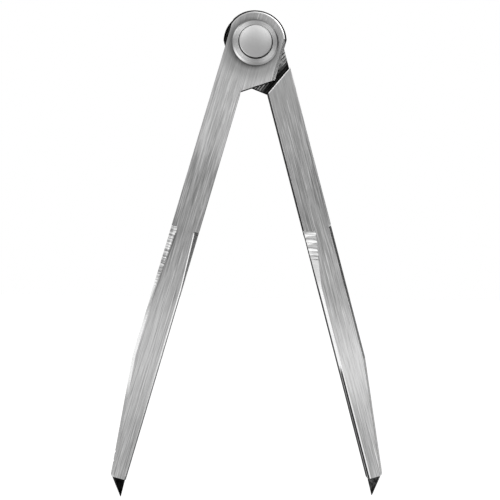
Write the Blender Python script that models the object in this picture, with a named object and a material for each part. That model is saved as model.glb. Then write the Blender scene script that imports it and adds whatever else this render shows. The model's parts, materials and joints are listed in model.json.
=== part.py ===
"""Flat-leg marking divider: two half-lapped steel legs that turn on a clamped pivot bolt.

Both legs are the same forging, one turned over, so that their head plates lie on each other.
World frame, in metres: the origin is the centre of the bolt head's flat face, +Y runs along the
pivot axis from the head towards the nut, and +Z points up, away from the points. Dimensions are
in millimetres, and MM turns them into Blender's metres.

A leg is drawn in its own frame: "along" is measured from the pivot axis down the inner edge,
and "across" is 0 on the inner edge, positive towards the other leg and negative away from it.
"""

import math

import bmesh
import bpy
from mathutils import Matrix, Vector

MM = 0.001

# Legs
REACH = 200.0  # pivot axis to the end of a point
OPENING = 30.7  # angle between the inner edges, in degrees
LEG_WIDTH = 12.0
LEG_THICKNESS = 5.0
EDGE_RELIEF = 0.05  # the inner edge stands this far back, so that closed legs don't bind
TAPER_START = 142.5  # the outer edge leans inwards from here
SHANK_END = 191.7  # corner where the outer edge turns in towards the point
SHANK_END_WIDTH = 6.6
POINT_LENGTH = 7.6
POINT_TIP = 0.3  # size of the blunt end of a point
POINT_SET_IN = 0.4  # the point is ground back this far from the leg's inner edge
POINT_NIP = 1.2  # width of the facets that break its long corners

# Head plates
PLATE_RADIUS = 13.3
PLATE_RISE = 1.2  # the plate's arc is centred this far above the pivot axis
PLATE_SIDE = 12.6  # straight side of the plate, beyond the inner edge
PLATE_FOOT = 17.8  # pivot axis to the plate's slanting foot
SHOULDER = 18.15  # pivot axis to the shoulder that the other plate's foot closes on
SHOULDER_LEAN = 35.8  # angle of foot and shoulder against square, in degrees

# Bevels on the lower part of the leg: (face, edge, start, width at the start, later width)
BEVEL_RUN_OUT = 0.8  # length over which a bevel reaches its first width
BEVEL_NARROWS = 24.0  # length over which it then narrows to its later width
BEVEL_SLOPE = 0.42  # a bevel's depth for its width
BEVELS = (
    ("front", "outer", 85.0, 2.5, 1.2),
    ("front", "inner", 85.6, 1.9, 0.6),
    ("back", "inner", 84.0, 4.6, 1.3),
    ("back", "outer", 83.5, 1.2, 0.9),
)

# Stack on the pivot axis, from the head's flat face at 0
HEAD_RADIUS = 7.25
HEAD_HEIGHT = 1.7
COLLAR_RADIUS = 10.0
COLLAR_HEIGHT = 1.4
COLLAR_CHAMFER = 0.7
STACK_GAP = 0.05
FRICTION_RADIUS = 12.0
FRICTION_THICKNESS = 0.5
WASHER_RADIUS = 9.5
WASHER_THICKNESS = 1.2
SPRING_RADIUS = 7.4
SPRING_THICKNESS = 0.7
SPRING_HEIGHT = 1.0
SPRING_TRAVEL = 0.1  # room for the nut to tighten
NUT_RADIUS = 7.25
NUT_HEIGHT = 3.2
NUT_HOLE_RADIUS = 0.9
NUT_HOLE_CIRCLE = 5.1
NUT_HOLE_DEPTH = 2.0
BOLT_SET_BACK = 0.3  # the bolt ends this far inside the nut's face

NECK_RADIUS = 5.0  # keyed neck in the collar and the front plate
NECK_ACROSS_FLATS = 8.4
JOURNAL_RADIUS = 4.0  # the rear leg turns on this
JOURNAL_SHORT = 0.2  # the journal ends inside the rear plate, so that the nut can clamp
THREAD_RADIUS = 3.0
THREAD_ACROSS_FLATS = 5.0
FIT = 0.05  # radial clearance of every hole on the bolt
TURNED_CHAMFER = 0.35

LEG_FRONT = HEAD_HEIGHT + COLLAR_HEIGHT + 2 * STACK_GAP
LEG_MIDDLE = LEG_FRONT + LEG_THICKNESS / 2
LEG_BACK = LEG_FRONT + LEG_THICKNESS
PLATE_THICKNESS = (LEG_THICKNESS - FRICTION_THICKNESS) / 2 - STACK_GAP
PLATE_INSIDE = LEG_THICKNESS / 2 - PLATE_THICKNESS  # half the gap between the two plates
WASHER_FRONT = LEG_BACK + STACK_GAP
SPRING_FRONT = WASHER_FRONT + WASHER_THICKNESS + SPRING_TRAVEL
NUT_FRONT = SPRING_FRONT + SPRING_HEIGHT + STACK_GAP
NUT_BACK = NUT_FRONT + NUT_HEIGHT
BOLT_END = NUT_BACK - BOLT_SET_BACK

# Mortise and tenon between a leg and its point
TENON_LENGTH = 3.2
TENON_WIDTH = 2.4
TENON_THICKNESS = 1.6
BRAZE_GAP = 0.05
SEAT = REACH - POINT_LENGTH

ROUND_STEPS = 96
ARC_STEPS = 48
BEYOND = 4.0  # how far a cutter stands out of what it cuts
WEDGE_MARGIN = 1.0  # and how far a bevel's wedge does
OVERLAP = 0.5  # how deep two joined shapes reach into each other


def clear_scene():
    for thing in list(bpy.data.objects):
        bpy.data.objects.remove(thing)


def make_material(name, colour, roughness):
    material = bpy.data.materials.new(name)
    material.use_nodes = True
    shader = material.node_tree.nodes["Principled BSDF"]
    shader.inputs["Base Color"].default_value = (*colour, 1.0)
    shader.inputs["Roughness"].default_value = roughness
    shader.inputs["Metallic"].default_value = 1.0
    return material


def mesh_from(bm, name):
    bmesh.ops.recalc_face_normals(bm, faces=bm.faces)
    mesh = bpy.data.meshes.new(name)
    bm.to_mesh(mesh)
    bm.free()
    return mesh


def leg_point(along, across, depth):
    """A point of the leg's frame, where depth is counted from the leg's middle towards the nut."""
    return Vector((across, depth, -along)) * MM


def prism(name, outline, depths):
    """A closed mesh: the outline, as (along, across) pairs, between two depths."""
    bm = bmesh.new()
    near = [bm.verts.new(leg_point(a, c, depths[0])) for a, c in outline]
    far = [bm.verts.new(leg_point(a, c, depths[1])) for a, c in outline]
    bm.faces.new(near)
    bm.faces.new(far)
    bridge(bm, near, far)
    return mesh_from(bm, name)


def bridge(bm, ring, other):
    for i in range(len(ring)):
        j = (i + 1) % len(ring)
        bm.faces.new((ring[i], ring[j], other[j], other[i]))


def lofted(name, sections):
    """A closed mesh through sections, each a list of as many points."""
    bm = bmesh.new()
    rings = [[bm.verts.new(point) for point in section] for section in sections]
    bm.faces.new(rings[0])
    bm.faces.new(rings[-1])
    for ring, other in zip(rings, rings[1:]):
        bridge(bm, ring, other)
    return mesh_from(bm, name)


def turned(name, profile):
    """A closed mesh: the profile, as (radius, height) pairs, turned about the pivot axis."""
    bm = bmesh.new()
    rings = []
    for radius, height in profile:
        steps = ROUND_STEPS if radius else 1
        angles = [2 * math.pi * i / ROUND_STEPS for i in range(steps)]
        rings.append(
            [bm.verts.new(Vector((radius * math.cos(t), height, radius * math.sin(t))) * MM) for t in angles]
        )
    for ring, other in zip(rings, rings[1:] + rings[:1]):
        join_rings(bm, ring, other)
    return mesh_from(bm, name)


def join_rings(bm, ring, other):
    if len(ring) == 1 and len(other) == 1:
        return
    for i in range(ROUND_STEPS):
        j = (i + 1) % ROUND_STEPS
        if len(ring) == 1:
            bm.faces.new((ring[0], other[i], other[j]))
        elif len(other) == 1:
            bm.faces.new((ring[i], ring[j], other[0]))
        else:
            bm.faces.new((ring[i], ring[j], other[j], other[i]))


def carved(name, mesh, cutters, operation="DIFFERENCE"):
    """The mesh with every cutter taken away from it, or joined to it."""
    body = bpy.data.objects.new(name, mesh)
    bpy.context.scene.collection.objects.link(body)
    helpers = [body]
    for cutter in cutters:
        helper = bpy.data.objects.new("cutter", cutter)
        helper.hide_render = True
        helper.display_type = "WIRE"
        bpy.context.scene.collection.objects.link(helper)
        cut = body.modifiers.new("cut", "BOOLEAN")
        cut.operation = operation
        cut.solver = "EXACT"
        cut.object = helper
        helpers.append(helper)
    graph = bpy.context.evaluated_depsgraph_get()
    result = bpy.data.meshes.new_from_object(body.evaluated_get(graph))
    result.name = name
    for helper in helpers:
        bpy.data.objects.remove(helper)
    return result


def slant(distance, across):
    """How far along the leg a slanting line lies, at a distance across the inner edge."""
    lean = math.radians(SHOULDER_LEAN)
    return (distance - across * math.sin(lean)) / math.cos(lean)


def outer_width(along):
    """The leg's width at a distance from the pivot."""
    if along <= TAPER_START:
        return LEG_WIDTH
    if along <= SHANK_END:
        share = (along - TAPER_START) / (SHANK_END - TAPER_START)
        return LEG_WIDTH + share * (SHANK_END_WIDTH - LEG_WIDTH)
    return SHANK_END_WIDTH * (REACH - along) / (REACH - SHANK_END)


def plate_arc():
    """The round top of the head plate, from the outer edge over the top to the straight side."""
    start = math.asin(LEG_WIDTH / PLATE_RADIUS)
    end = math.asin(PLATE_SIDE / PLATE_RADIUS)
    angles = [-start + (start + end) * i / ARC_STEPS for i in range(ARC_STEPS + 1)]
    return [(-PLATE_RISE - PLATE_RADIUS * math.cos(t), PLATE_RADIUS * math.sin(t)) for t in angles]


def leg_outline():
    foot = [(slant(PLATE_FOOT, PLATE_SIDE), PLATE_SIDE), (slant(PLATE_FOOT, -EDGE_RELIEF), -EDGE_RELIEF)]
    seat = [(SEAT, -EDGE_RELIEF), (SEAT, -outer_width(SEAT))]
    outer = [(SHANK_END, -SHANK_END_WIDTH), (TAPER_START, -LEG_WIDTH)]
    return plate_arc() + foot + seat + outer


def lap_cutter():
    """Everything on the pivot's side of the shoulder, which slants as the other leg's foot does."""
    wide = PLATE_RADIUS + BEYOND
    outline = [
        (-wide, -wide),
        (slant(SHOULDER, wide), -wide),
        (slant(SHOULDER, 0), 0),
        (slant(SHOULDER, 0), wide),
        (-wide, wide),
    ]
    return prism("lap", outline, (-PLATE_INSIDE, LEG_THICKNESS))


def bevel_width(past_start, first, later):
    """A bevel's width at a distance past its start."""
    if past_start < BEVEL_RUN_OUT:
        return first * past_start / BEVEL_RUN_OUT
    share = min(1.0, (past_start - BEVEL_RUN_OUT) / BEVEL_NARROWS)
    return first + (later - first) * share


def bevel_cutter(face, edge, start, first, later):
    """A wedge that planes one long edge of the leg, seen across the leg as a triangle."""
    away = -1 if face == "front" else 1
    outwards = -1 if edge == "outer" else 1
    full = start + BEVEL_RUN_OUT
    stations = (start, full, full + BEVEL_NARROWS, TAPER_START, SHANK_END, SEAT + BEYOND)
    sections = []
    for along in stations:
        width = bevel_width(along - start, first, later)
        corner = -outer_width(along) if edge == "outer" else -EDGE_RELIEF
        surface = away * LEG_THICKNESS / 2
        reach = WEDGE_MARGIN + width
        inside = corner - outwards * (width + reach)
        outside = corner + outwards * reach
        rise = surface + away * reach * BEVEL_SLOPE
        drop = surface - away * (width + reach) * BEVEL_SLOPE
        sections.append(
            [
                leg_point(along, inside, rise),
                leg_point(along, outside, drop),
                leg_point(along, outside, rise),
            ]
        )
    return lofted("bevel", sections)


def mortise(gap):
    """The blind socket in the leg's end, or with no gap the tenon that fills it."""
    middle = -outer_width(SEAT) / 2
    half = TENON_WIDTH / 2 + gap
    top = SEAT - TENON_LENGTH - gap
    bottom = SEAT + (BEYOND if gap else OVERLAP)
    outline = [(top, middle - half), (bottom, middle - half), (bottom, middle + half), (top, middle + half)]
    depth = TENON_THICKNESS / 2 + gap
    return prism("tenon", outline, (-depth, depth))


def turned_rod(radius, low, high):
    return turned("rod", [(0, low), (radius, low), (radius, high), (0, high)])


def keyed_rod(radius, across_flats, low, high):
    """A rod with two flats, which stand above and below the axis."""
    wide = radius + BEYOND
    flats = []
    for side in (-1, 1):
        inner, outer = side * across_flats / 2, side * wide
        outline = [(inner, -wide), (inner, wide), (outer, wide), (outer, -wide)]
        flats.append(prism("flat", outline, (low - BEYOND, high + BEYOND)))
    return carved("keyed_rod", turned_rod(radius, low, high), flats)


def leg_mesh(name, bore):
    half = LEG_THICKNESS / 2
    blank = prism(name, leg_outline(), (-half, half))
    cutters = [lap_cutter(), mortise(BRAZE_GAP), bore]
    cutters += [bevel_cutter(*bevel) for bevel in BEVELS]
    return carved(name, blank, cutters)


def point_mesh():
    """A four-sided ground point on a tenon."""
    half = LEG_THICKNESS / 2
    top = SEAT + BRAZE_GAP
    inner = -POINT_SET_IN
    outer = -outer_width(top)
    nip = POINT_NIP
    base = [
        (inner - nip, -half),
        (inner, -half + nip),
        (inner, half - nip),
        (inner - nip, half),
        (outer + nip, half),
        (outer, half - nip),
        (outer, -half + nip),
        (outer + nip, -half),
    ]
    tip_middle = -EDGE_RELIEF - POINT_TIP / 2
    base_middle = (inner + outer) / 2
    shrink = POINT_TIP / (inner - outer)
    tip = [(tip_middle + (c - base_middle) * shrink, d * shrink) for c, d in base]
    pyramid = lofted(
        "point",
        [[leg_point(top, c, d) for c, d in base], [leg_point(REACH, c, d) for c, d in tip]],
    )
    return carved("point", pyramid, [mortise(0)], "UNION")


def collar_mesh():
    front = HEAD_HEIGHT + STACK_GAP
    back = front + COLLAR_HEIGHT
    disc = turned(
        "collar",
        [
            (0, front),
            (COLLAR_RADIUS - COLLAR_CHAMFER, front),
            (COLLAR_RADIUS, front + COLLAR_CHAMFER),
            (COLLAR_RADIUS, back),
            (0, back),
        ],
    )
    hole = keyed_rod(NECK_RADIUS + FIT, NECK_ACROSS_FLATS + 2 * FIT, front - BEYOND, back + BEYOND)
    return carved("head_collar", disc, [hole])


def bolt_mesh():
    edge = TURNED_CHAMFER
    neck_end = LEG_FRONT + PLATE_THICKNESS - JOURNAL_SHORT
    journal_end = LEG_BACK - JOURNAL_SHORT
    head = turned(
        "head",
        [(0, 0), (HEAD_RADIUS - edge, 0), (HEAD_RADIUS, edge), (HEAD_RADIUS, HEAD_HEIGHT), (0, HEAD_HEIGHT)],
    )
    neck = keyed_rod(NECK_RADIUS, NECK_ACROSS_FLATS, HEAD_HEIGHT - OVERLAP, neck_end)
    journal = turned_rod(JOURNAL_RADIUS, neck_end - OVERLAP, journal_end)
    thread = keyed_rod(THREAD_RADIUS, THREAD_ACROSS_FLATS, journal_end - OVERLAP, BOLT_END)
    return carved("pivot_bolt", head, [neck, journal, thread], "UNION")


def ring_mesh(name, radius, hole, low, high):
    return turned(name, [(hole, low), (radius, low), (radius, high), (hole, high)])


def washer_mesh():
    back = WASHER_FRONT + WASHER_THICKNESS
    edge = TURNED_CHAMFER
    disc = turned(
        "washer",
        [
            (0, WASHER_FRONT),
            (WASHER_RADIUS, WASHER_FRONT),
            (WASHER_RADIUS, back - edge),
            (WASHER_RADIUS - edge, back),
            (0, back),
        ],
    )
    hole = keyed_rod(
        THREAD_RADIUS + FIT, THREAD_ACROSS_FLATS + 2 * FIT, WASHER_FRONT - BEYOND, back + BEYOND
    )
    return carved("thrust_washer", disc, [hole])


def spring_mesh():
    """A shallow cone: its wide rim bears on the thrust washer and its narrow rim on the nut."""
    hole = THREAD_RADIUS + FIT
    lift = SPRING_HEIGHT - SPRING_THICKNESS
    profile = [
        (hole, SPRING_FRONT + lift),
        (SPRING_RADIUS, SPRING_FRONT),
        (SPRING_RADIUS, SPRING_FRONT + SPRING_THICKNESS),
        (hole, SPRING_FRONT + SPRING_HEIGHT),
    ]
    return turned("disc_spring", profile)


def nut_mesh():
    hole = THREAD_RADIUS + FIT
    edge = TURNED_CHAMFER
    profile = [
        (hole, NUT_FRONT),
        (NUT_RADIUS - edge, NUT_FRONT),
        (NUT_RADIUS, NUT_FRONT + edge),
        (NUT_RADIUS, NUT_BACK - edge),
        (NUT_RADIUS - edge, NUT_BACK),
        (hole + edge, NUT_BACK),
        (hole, NUT_BACK - edge),
    ]
    sockets = []
    for side in (-1, 1):
        socket = turned_rod(NUT_HOLE_RADIUS, NUT_BACK - NUT_HOLE_DEPTH, NUT_BACK + BEYOND)
        socket.transform(Matrix.Translation(Vector((side * NUT_HOLE_CIRCLE, 0, 0)) * MM))
        sockets.append(socket)
    return carved("pin_nut", turned("nut", profile), sockets)


def place(name, mesh, material, parent=None):
    """One sub-part as an object, its round faces smooth and its edges sharp."""
    mesh.materials.clear()
    mesh.materials.append(material)
    mesh.shade_smooth()
    mesh.set_sharp_from_angle(angle=math.radians(20))
    part = bpy.data.objects.new(name, mesh)
    bpy.context.scene.collection.objects.link(part)
    part.parent = parent
    return part


def leg_pivot(name, rotation):
    """An empty on the pivot axis, in the middle of the legs' thickness."""
    empty = bpy.data.objects.new(name, None)
    empty.matrix_world = Matrix.Translation(Vector((0, LEG_MIDDLE, 0)) * MM) @ rotation
    bpy.context.scene.collection.objects.link(empty)
    return empty


def build():
    clear_scene()
    leg_steel = make_material("leg_steel", (0.55, 0.55, 0.55), 0.35)
    head_steel = make_material("head_steel", (0.62, 0.62, 0.62), 0.3)
    hard_metal = make_material("hard_metal", (0.02, 0.02, 0.022), 0.4)
    bronze = make_material("bronze", (0.55, 0.36, 0.16), 0.4)
    spring_steel = make_material("spring_steel", (0.25, 0.26, 0.3), 0.35)

    lean = math.radians(OPENING / 2)
    front_pivot = leg_pivot("front_leg_pivot", Matrix.Rotation(lean, 4, "Y"))
    turned_over = Matrix.Rotation(-lean, 4, "Y") @ Matrix.Rotation(math.pi, 4, "Z")
    rear_pivot = leg_pivot("rear_leg_pivot", turned_over)

    half = LEG_THICKNESS / 2
    keyed_bore = keyed_rod(NECK_RADIUS + FIT, NECK_ACROSS_FLATS + 2 * FIT, -half - BEYOND, half)
    keyed_bore.transform(Matrix.Rotation(-lean, 4, "Y"))
    round_bore = turned_rod(JOURNAL_RADIUS + FIT, -half - BEYOND, half)

    place("front_leg", leg_mesh("front_leg", keyed_bore), leg_steel, front_pivot)
    place("rear_leg", leg_mesh("rear_leg", round_bore), leg_steel, rear_pivot)
    point = point_mesh()
    place("front_point", point, hard_metal, front_pivot)
    place("rear_point", point, hard_metal, rear_pivot)

    place("pivot_bolt", bolt_mesh(), head_steel)
    place("head_collar", collar_mesh(), head_steel)
    disc_front = LEG_MIDDLE - FRICTION_THICKNESS / 2
    disc = ring_mesh(
        "friction_disc", FRICTION_RADIUS, JOURNAL_RADIUS + FIT, disc_front, disc_front + FRICTION_THICKNESS
    )
    place("friction_disc", disc, bronze)
    place("thrust_washer", washer_mesh(), head_steel)
    place("disc_spring", spring_mesh(), spring_steel)
    place("pin_nut", nut_mesh(), head_steel)


build()
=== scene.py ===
"""Looks of a flat-leg marking divider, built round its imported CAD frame.

Row frame, in metres: +Y runs along the pivot axis from the bolt head towards the nut and +Z points
up, away from the points. Details are given in millimetres, and MM turns them into metres.

A leg has a frame of its own, turned so that its inner edge is straight down: x is across the leg (0 on
the inner edge, positive towards the other leg), y is depth from the middle of its thickness towards
the side the nut is on when it is the front leg, and -z is the distance from the pivot along the leg.
"""

import json
import math
import random

import bmesh
import bpy
from mathutils import Matrix, Vector


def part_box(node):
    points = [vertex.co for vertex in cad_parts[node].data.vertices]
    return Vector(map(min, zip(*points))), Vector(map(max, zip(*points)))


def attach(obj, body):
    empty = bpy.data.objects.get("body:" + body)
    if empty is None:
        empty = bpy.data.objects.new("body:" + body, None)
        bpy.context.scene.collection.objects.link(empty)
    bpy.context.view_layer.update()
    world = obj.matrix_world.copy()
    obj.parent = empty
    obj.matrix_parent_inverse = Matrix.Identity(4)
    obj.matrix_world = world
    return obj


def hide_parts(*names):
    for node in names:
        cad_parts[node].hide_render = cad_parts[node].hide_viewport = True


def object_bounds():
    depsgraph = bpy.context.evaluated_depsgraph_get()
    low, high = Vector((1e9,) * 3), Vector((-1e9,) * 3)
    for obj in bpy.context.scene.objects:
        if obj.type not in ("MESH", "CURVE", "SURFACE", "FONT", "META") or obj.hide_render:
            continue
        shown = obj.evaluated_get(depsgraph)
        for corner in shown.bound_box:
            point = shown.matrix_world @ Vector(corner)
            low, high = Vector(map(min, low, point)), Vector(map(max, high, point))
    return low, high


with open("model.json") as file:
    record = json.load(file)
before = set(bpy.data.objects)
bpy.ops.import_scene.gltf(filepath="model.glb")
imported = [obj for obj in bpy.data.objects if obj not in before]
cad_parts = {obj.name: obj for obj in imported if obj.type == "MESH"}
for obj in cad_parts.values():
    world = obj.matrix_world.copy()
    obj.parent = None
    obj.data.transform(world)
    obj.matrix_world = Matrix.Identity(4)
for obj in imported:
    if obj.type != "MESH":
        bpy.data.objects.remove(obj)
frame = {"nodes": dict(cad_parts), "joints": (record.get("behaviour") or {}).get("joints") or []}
cad_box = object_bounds()

MM = 0.001
ROW_FRAME = Matrix.Identity(4)
WELD = 1e-6
FLAT_ANGLE = math.radians(0.4)  # faces that meet at less than this are one face
SHARP_ANGLE = math.radians(8)
LEG_SHARP_ANGLE = math.radians(3)  # low, so that shallow marks don't bend the shading of the flat faces

# Legs, as the CAD has them, in mm
HINGE = next(joint for joint in frame["joints"] if joint["name"] == "leg_hinge")
LEAN = math.radians(-HINGE["range_deg"][0] / 2)
LEG_MIDDLE = HINGE["pos_m"][1] / MM
LEG_THICKNESS = 5.0
LEG_WIDTH = 12.0
BEVEL_SLOPE = 0.42
LAP_FLOOR = -0.3  # depth of the flat that the other head plate lies on
SHOULDER = 18.15  # pivot axis to the shoulder
SHOULDER_LEAN = math.radians(35.8)
TO_SHOULDER = Vector((-math.sin(SHOULDER_LEAN), 0, -math.cos(SHOULDER_LEAN)))
PLATE_RADIUS = 13.3
PLATE_RISE = 1.2  # the plate's arc is centred this far above the pivot axis
PLATE_SIDE = 12.6
PLATE_CORNER = -12.86  # height of the corner between the plate's side and its foot
TAPER_START = 142.5
SHANK_END = 191.7
SHANK_END_WIDTH = 6.6

# Bevels of the legs, as (face, edge): (start, width at the start, later width)
BEVELS = {
    ("front", "outer"): (85.0, 2.5, 1.2),
    ("front", "inner"): (85.6, 1.9, 0.6),
    ("back", "inner"): (84.0, 4.6, 1.3),
}
BEVEL_RUN_OUT = 0.8
BEVEL_NARROWS = 24.0

# Edges
EDGE_BREAK = 0.14  # rounding of a leg's long edges
TIP_BREAK = 0.05
EDGE_STEPS = 3
LONG_EDGE = 4.0

# Chamfers of the plate's rim. They start from nothing and widen over the top.
RIM_BREAK = ((-1.3, 0.0), (-0.8, 0.14), (0.0, 0.75))  # section of the broken rim: outwards and depth
RIM_STEPS = 40
RIM_START = math.radians(-62)  # from straight up, towards the outer side
RIM_FIRST_SHARE = 0.06
RIM_GROWTH = 2.6  # full size is reached after about 1 / RIM_GROWTH of the rim

# Marks of the wheel across the bevels:
# (face, edge, first mark, last mark, how many, wheel radius, depth, lean in degrees)
BEVEL_MARKS = (
    ("front", "outer", 86.4, 112.0, 20, 1.4, 0.09, 0.0),
    ("back", "inner", 85.6, 95.6, 7, 2.2, 0.12, -16.0),
)
MARK_STEP = 0.1
MARK_JITTER = 0.3  # in pitches
MARK_SCATTER = (0.6, 1.3)  # least and most depth, as a share of the mean
COMB_WIDTH = 9.0
COMB_END = 0.7  # how far the comb reaches past its last tooth, in pitches
COMB_TOP = 1.0
COMB_GAP = 0.04  # between the comb and the bevel where there is no tooth

# Burnished line along the inside border of the front inner bevel, at half the bevel's slope
BURNISH_REACH = 1.1
BURNISH_DEPTH = 0.055
BURNISH_ALONG = (86.2, 86.8, 110.4, 150.0, 191.0)

# Milling marks on the lap floor
MILLING_PITCH = 1.0
MILLING_DEPTH = 0.12
MILLING_ROWS = 48
MILLING_STEPS = 5  # points to a row
MILLING_TOP = 0.25  # above the lap floor
MILLING_FROM_SHOULDER = 0.12
MILLING_SKIN = 0.005  # least that is taken off the floor
MILLING_WIDTH = 70.0

# Nicks in the outer edge of the front leg: (distance from the pivot, radius, depth)
NICKS = ((182.6, 1.1, 0.3), (186.4, 0.9, 0.4))
NICK_STEPS = 20

# Bolt head and collar, over their CAD boxes
DOME_HEIGHT = 0.6
DOME_STEPS = 22
HEAD_ROUNDING = 0.4
HEAD_ARC = (-80, 0)  # degrees from straight outwards, towards the front
ARC_STEPS = 8
HEAD_INSET = 0.2  # the domed part stands this far inside the head's CAD radius
COLLAR_HOLE = 5.1  # radius
RING_GROOVE = 0.4  # width of the groove round the head
RING_DEPTH = 0.45
GROOVE_FLOOR = (-0.4, 0.05)  # corners of the groove's floor, outwards from the domed part
GROOVE_EDGE = (0.08, 0.12)  # break of the groove's outer edge, across and down
TURNING_PITCH = 0.3
TURNING_DEPTH = 0.012
TURNING_VALLEY = 0.35  # place of a turning mark's bottom, in pitches
TURNING_CREST = 0.8
COLLAR_CHAMFER = 0.7
COLLAR_BREAK = (0.05, 0.06)  # break of the chamfer's outer corner, before it and past it
COLLAR_BACK_BREAK = 0.08
ROUND_STEPS = 160

CLEARANCE = 1.0  # how far a cutter reaches past what it cuts

# Studio panels round the object, in degrees to the right of the viewer and degrees above the horizon:
# (middle, half width, middle height, half height, brightness added to the room's)
STUDIO_PANELS = (
    (-46.0, 20.0, -15.0, 28.0, 0.36),
    (22.0, 6.0, -15.0, 32.0, 0.6),
    (45.0, 12.0, -15.0, 32.0, -0.47),
    (28.0, 14.0, 42.0, 24.0, 1.0),
    (98.0, 52.0, 40.0, 32.0, -0.8),
    (-80.0, 16.0, -28.0, 26.0, 0.7),
)
PANEL_SOFTNESS = 4.0

# The room's light by the part of a direction that points up or back: (from, to, before, after)
LOW_LIGHT = (-0.22, 0.02, 0.17, 0.0)  # added below the horizon
ROOM_LIGHT = (0.33, 0.8, 0.45, 1.3)  # from the walls' to the ceiling's
BEHIND_SHADE = (0.5, 0.75, 1.0, 0.05)
OVERHEAD_SHADE = (0.76, 0.9, 1.0, 0.15)
LEAST_LIGHT = 0.02

# Floor, in metres
FLOOR_SIZE = 3.0
FLOOR_GAP = 0.0002
FLOOR_GLOW = 0.85
FLOOR_GREY = (0.5, 0.5, 0.5, 1)

# Softboxes, in metres and watts: (name, place, target, width, height, power)
SOFTBOXES = (
    ("left_softbox", (-0.62, -0.55, 0.0), (0, 0, -0.09), 0.35, 0.7, 0.15),
    ("upper_left_softbox", (-0.26, -0.60, 0.50), (0, 0, 0), 0.25, 0.25, 0.3),
    ("upper_right_softbox", (0.34, -0.50, 0.50), (0, 0, 0), 0.25, 0.25, 0.3),
)

# Camera: its place from the object in metres, its turns and its lens in mm
CAMERA_DISTANCE = 0.300
CAMERA_YAW = math.radians(3.99)
CAMERA_PITCH = math.radians(-2.35)
CAMERA_ROLL = math.radians(0.93)
CAMERA_ACROSS = 0.00254
CAMERA_DROP = 0.08919
CAMERA_LENS = 50.79
SENSOR_WIDTH = 36.0
CLIP_START = 0.01  # metres


# ---------------------------------------------------------------- meshes


def leg_frame(leg):
    """From a leg's own frame to the row frame."""
    pivot = Matrix.Translation(Vector((0, LEG_MIDDLE, 0)) * MM)
    if leg == "front":
        return pivot @ Matrix.Rotation(LEAN, 4, "Y")
    return pivot @ Matrix.Rotation(-LEAN, 4, "Y") @ Matrix.Rotation(math.pi, 4, "Z")


def finished(bm, name):
    """The mesh of a bmesh whose faces all point outwards; the bmesh is freed."""
    bmesh.ops.recalc_face_normals(bm, faces=bm.faces)
    mesh = bpy.data.meshes.new(name)
    bm.to_mesh(mesh)
    bm.free()
    return mesh


def cad_copy(node, local):
    """A CAD node's solid in a local frame, welded and with whole flat faces."""
    bm = bmesh.new()
    bm.from_mesh(frame["nodes"][node].data)
    bm.transform(local.inverted())
    bmesh.ops.remove_doubles(bm, verts=bm.verts, dist=WELD)
    bmesh.ops.dissolve_limit(bm, angle_limit=FLAT_ANGLE, verts=bm.verts, edges=bm.edges)
    return bm


def linked(name, data):
    """A new object in the scene."""
    piece = bpy.data.objects.new(name, data)
    bpy.context.scene.collection.objects.link(piece)
    return piece


def evaluated(piece):
    """The object's mesh with its modifiers applied."""
    depsgraph = bpy.context.evaluated_depsgraph_get()
    return bpy.data.meshes.new_from_object(piece.evaluated_get(depsgraph))


def edges_broken(name, bm, width, chosen):
    """The mesh with the chosen edges rounded, by a width in mm."""
    weights = bm.edges.layers.float.new("bevel_weight_edge")
    for edge in bm.edges:
        edge[weights] = 1.0 if chosen(edge) else 0.0
    helper = linked(name, finished(bm, name))
    bevel = helper.modifiers.new("edges", "BEVEL")
    bevel.limit_method = "WEIGHT"
    bevel.width = width * MM
    bevel.segments = EDGE_STEPS
    mesh = evaluated(helper)
    bpy.data.objects.remove(helper)
    return mesh


def long_and_sharp(edge):
    """True for the long edges of a leg; the short ones round its curves stay crisp."""
    return edge.calc_length() > LONG_EDGE * MM and edge.calc_face_angle() > SHARP_ANGLE


def sharp(edge):
    return edge.calc_face_angle() > SHARP_ANGLE


def carved(name, mesh, cutters, operation="DIFFERENCE"):
    """The mesh after a Boolean operation with each cutter in turn."""
    body = linked(name, mesh)
    helpers = [body]
    for cutter in cutters:
        helper = linked("cutter", cutter)
        cut = body.modifiers.new("cut", "BOOLEAN")
        cut.operation = operation
        cut.solver = "EXACT"
        cut.object = helper
        helpers.append(helper)
    result = evaluated(body)
    for helper in helpers:
        bpy.data.objects.remove(helper)
    return result


def prism(outline, thickness, place):
    """A closed mesh: an outline in the xy plane, thickened both ways, then placed. In millimetres."""
    bm = bmesh.new()
    low = [bm.verts.new((x, y, -thickness / 2)) for x, y in outline]
    high = [bm.verts.new((x, y, thickness / 2)) for x, y in outline]
    bm.faces.new(low)
    bm.faces.new(high)
    for i in range(len(low)):
        j = (i + 1) % len(low)
        bm.faces.new((low[i], low[j], high[j], high[i]))
    bm.transform(Matrix.Scale(MM, 4) @ place)
    return finished(bm, "prism")


def circle(radius, steps):
    angles = [2 * math.pi * i / steps for i in range(steps)]
    return [(radius * math.cos(t), radius * math.sin(t)) for t in angles]


def axes_to(x_axis, y_axis, z_axis, origin):
    """A matrix whose axes are these vectors, at an origin."""
    matrix = Matrix((x_axis, y_axis, z_axis)).transposed().to_4x4()
    matrix.translation = origin
    return matrix


def turned(name, profile):
    """A closed ring or disc: the profile, as (radius, height) pairs in mm, turned about the pivot axis."""
    bm = bmesh.new()
    rings = []
    for radius, height in profile:
        steps = ROUND_STEPS if radius else 1
        angles = [2 * math.pi * i / ROUND_STEPS for i in range(steps)]
        points = [Vector((radius * math.cos(t), height, radius * math.sin(t))) for t in angles]
        rings.append([bm.verts.new(point * MM) for point in points])
    for ring, other in zip(rings, rings[1:] + rings[:1]):
        join_rings(bm, ring, other)
    return finished(bm, name)


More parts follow.
